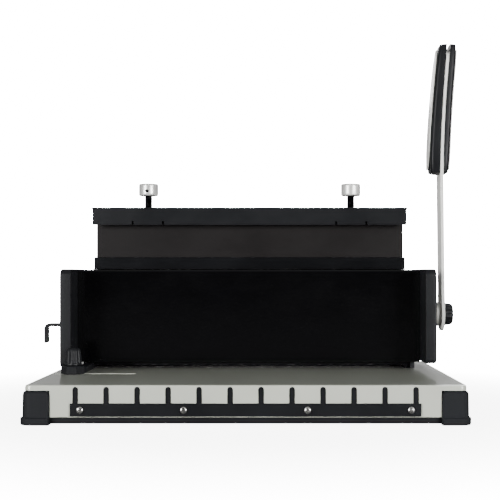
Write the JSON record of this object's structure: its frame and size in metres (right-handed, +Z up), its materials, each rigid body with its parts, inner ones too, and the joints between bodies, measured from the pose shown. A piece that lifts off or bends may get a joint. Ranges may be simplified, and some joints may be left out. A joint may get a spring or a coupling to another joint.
{
  "type": "wire binding machine",
  "caption": "Desktop binding punch and twin-loop wire closer: side lever, cam shaft, punch pins, closing beam with thumb screws, edge guide, margin lever, chip tray, rubber corner boots.",
  "frame": {"origin": "on the desk, under the middle of the whole machine (lever included)", "axes": "+X to the lever side (right), +Y from the operator to the back, +Z up"},
  "size_m": [0.409, 0.268, 0.3502],
  "materials": {
    "ivory_paint": "satin powder coat",
    "base_black": "satin",
    "rubber_black": "matt",
    "rail_black": "satin",
    "bright_screw": "bright zinc",
    "tray_grey": "matt",
    "tool_steel": "ground",
    "spring_steel": "drawn wire",
    "frame_steel": "satin",
    "cam_steel": "black oxide",
    "bush_bronze": "machined",
    "housing_gloss": "gloss",
    "cheek_plastic": "fine grain",
    "panel_brown_black": "satin",
    "beam_black": "satin",
    "stud_black": "black oxide",
    "knob_nickel": "knurled, satin",
    "lever_black": "satin",
    "knob_plastic": "fine grain",
    "arm_ivory": "satin powder coat"
  },
  "bodies": {
    "base": {"base_pan": "base_black", "base_shell": "ivory_paint", "cheek_left": "cheek_plastic", "cheek_right": "cheek_plastic", "closer_panel": "panel_brown_black", "closer_platen": "cam_steel", "die_plate": "tool_steel", "foot_front_left": "rubber_black", "foot_front_right": "rubber_black", "foot_rear_left": "rubber_black", "foot_rear_right": "rubber_black", "front_cover": "housing_gloss", "guide_rod_left": "tool_steel", "guide_rod_right": "tool_steel", "lift_spring_left": "spring_steel", "lift_spring_right": "spring_steel", "rail_screw_1": "bright_screw", "rail_screw_2": "bright_screw", "rail_screw_3": "bright_screw", "rail_screw_4": "bright_screw", "rear_cover": "housing_gloss", "return_spring_left": "spring_steel", "return_spring_right": "spring_steel", "shaft_bush_left": "bush_bronze", "shaft_bush_right": "bush_bronze", "side_frame_left": "frame_steel", "side_frame_right": "frame_steel", "stripper_plate": "cam_steel", "tie_rod_front": "tool_steel", "tie_rod_rear": "tool_steel", "wire_holder": "rail_black"},
    "lever": {"main_shaft": "tool_steel", "punch_cam_left": "cam_steel", "punch_cam_right": "cam_steel", "closer_cam_left": "cam_steel", "closer_cam_right": "cam_steel", "handle_boss": "arm_ivory", "handle_arm": "arm_ivory", "grip_inner": "knob_plastic", "grip_outer": "knob_plastic", "grip_inlay_inner": "arm_ivory", "grip_inlay_outer": "arm_ivory"},
    "clamp": {"clamp_knob": "knob_plastic"},
    "punch": {"punch_bar": "tool_steel", "punch_pins": "tool_steel"},
    "closer": {"closer_beam": "beam_black", "pull_plate_left": "cam_steel", "pull_plate_right": "cam_steel"},
    "press": {"press_bar": "cam_steel"},
    "thumb_left": {"thumb_stud_left": "stud_black", "thumb_knob_left": "knob_nickel"},
    "thumb_right": {"thumb_stud_right": "stud_black", "thumb_knob_right": "knob_nickel"},
    "margin": {"margin_lever": "lever_black"},
    "stop": {"depth_stop": "cam_steel"},
    "guide": {"edge_guide": "knob_plastic", "guide_nut": "frame_steel"},
    "guide_clamp": {"guide_knob": "knob_plastic"},
    "tray": {"chip_tray": "tray_grey"}
  },
  "joints": [
    {"name": "lever_swing", "type": "hinge", "parent": "base", "child": "lever", "pos_m": [0.18969, 0.058, 0.0848], "axis": [1, 0, 0], "range_deg": [0, 86], "stiffness_Nm_per_rad": 0.6, "springref_deg": -51.57},
    {"name": "punch_travel", "type": "slide", "parent": "base", "child": "punch", "axis": [0, 0, -1], "range_m": [0, 0.0113], "deforming": ["return_spring_left", "return_spring_right"]},
    {"name": "closer_travel", "type": "slide", "parent": "base", "child": "closer", "axis": [0, 0, -1], "range_m": [0, 0.0113], "deforming": ["lift_spring_left", "lift_spring_right"]},
    {"name": "thumb_left_turn", "type": "hinge", "parent": "press", "child": "thumb_left", "pos_m": [-0.10021, 0.07, 0.202], "axis": [0, 0, -1], "range_deg": [0, 3314]},
    {"name": "thumb_right_turn", "type": "hinge", "parent": "press", "child": "thumb_right", "pos_m": [0.10119, 0.07, 0.202], "axis": [0, 0, -1], "range_deg": [0, 3314]},
    {"name": "press_adjust", "type": "slide", "parent": "closer", "child": "press", "axis": [0, 0, -1], "range_m": [0, 0.0115]},
    {"name": "margin_turn", "type": "hinge", "parent": "base", "child": "margin", "pos_m": [-0.20451, 0.0758, 0.0735], "axis": [1, 0, 0], "range_deg": [0, 60.5]},
    {"name": "depth_stop_travel", "type": "slide", "parent": "base", "child": "stop", "axis": [0, -1, 0], "range_m": [0, 0.00346]},
    {"name": "edge_guide_slide", "type": "slide", "parent": "base", "child": "guide", "axis": [1, 0, 0], "range_m": [-0.006, 0.055]},
    {"name": "guide_knob_turn", "type": "hinge", "parent": "guide", "child": "guide_clamp", "pos_m": [-0.15901, -0.024, 0.0405], "axis": [0, 0, 1], "range_deg": [0, 360]},
    {"name": "clamp_knob_turn", "type": "hinge", "parent": "lever", "child": "clamp", "pos_m": [0.18969, 0.058, 0.0848], "axis": [1, 0, 0], "continuous": true},
    {"name": "chip_tray_slide", "type": "slide", "parent": "base", "child": "tray", "axis": [0, 1, 0], "range_m": [0, 0.1]}
  ],
  "couplings": [
    {"joint": "punch_travel", "follows": "lever_swing", "m_per_rad": 0.0075},
    {"joint": "closer_travel", "follows": "lever_swing", "m_per_rad": 0.0075},
    {"joint": "thumb_left_turn", "follows": "press_adjust", "rad_per_m": 5026.5},
    {"joint": "thumb_right_turn", "follows": "press_adjust", "rad_per_m": 5026.5},
    {"joint": "margin_turn", "follows": "depth_stop_travel", "rad_per_m": 303.03}
  ]
}
